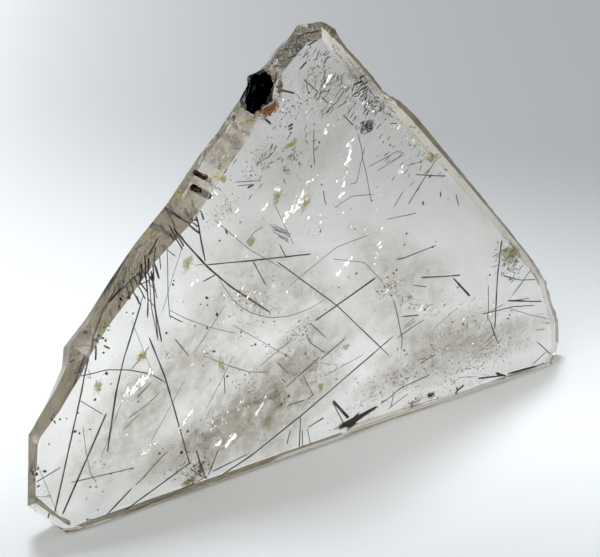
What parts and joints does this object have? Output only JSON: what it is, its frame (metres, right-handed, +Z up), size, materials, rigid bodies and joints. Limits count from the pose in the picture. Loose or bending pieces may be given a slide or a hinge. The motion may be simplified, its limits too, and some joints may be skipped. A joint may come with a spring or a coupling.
{
  "type": "mineral specimen",
  "caption": "Clear flat quartz crystal with bevelled edges and a pointed top, pierced by black schorl needles, with a block of schorl set in its left slope.",
  "frame": {"origin": "under the middle of the crystal's bounding box, on the plane that its long edge stands on", "axes": "+X along the standing edge towards the blunt end, +Y from the front face through the plate to the back face, +Z up towards the tip"},
  "size_m": [0.1398, 0.007, 0.0952],
  "materials": {
    "quartz": "clear natural quartz, glossy faces with faint steps",
    "schorl": "black tourmaline, glassy, striated along its length",
    "brown_schorl": "brown-black tourmaline, glassy, striated along its length"
  },
  "bodies": {
    "root": {"quartz_front_half": "quartz", "quartz_back_half": "quartz", "schorl_big": "schorl", "schorl_prism_upper": "brown_schorl", "schorl_prism_lower": "brown_schorl", "schorl_needle_01": "schorl", "schorl_needle_02": "schorl", "schorl_needle_03": "schorl", "schorl_needle_04": "schorl", "schorl_needle_05": "schorl", "schorl_needle_06": "schorl", "schorl_needle_07": "schorl", "schorl_needle_08": "schorl", "schorl_needle_09": "schorl", "schorl_needle_10": "schorl", "schorl_needle_11": "schorl", "schorl_needle_12": "schorl", "schorl_needle_13": "schorl", "schorl_needle_14": "schorl", "schorl_needle_15": "schorl", "schorl_needle_16": "schorl", "schorl_needle_17": "schorl", "schorl_needle_18": "schorl", "schorl_needle_19": "schorl", "schorl_needle_20": "schorl", "schorl_needle_21": "schorl", "schorl_needle_22": "schorl", "schorl_needle_23": "schorl", "schorl_needle_24": "schorl", "schorl_needle_25": "schorl", "schorl_needle_26": "schorl", "schorl_needle_27": "schorl", "schorl_needle_28": "schorl", "schorl_needle_29": "schorl", "schorl_needle_30": "schorl", "schorl_needle_31": "schorl", "schorl_needle_32": "schorl", "schorl_needle_33": "schorl", "schorl_needle_34": "schorl", "schorl_needle_35": "schorl", "schorl_needle_36": "schorl", "schorl_needle_37": "schorl", "schorl_needle_38": "schorl", "schorl_needle_39": "schorl", "schorl_needle_40": "schorl", "schorl_needle_41": "schorl", "schorl_needle_42": "schorl", "schorl_needle_43": "schorl", "schorl_needle_44": "schorl", "schorl_needle_45": "schorl", "schorl_needle_46": "schorl", "schorl_bar": "schorl", "schorl_strut": "schorl", "schorl_lump_base": "schorl", "schorl_lump_tip": "schorl"}
  },
  "joints": []
}
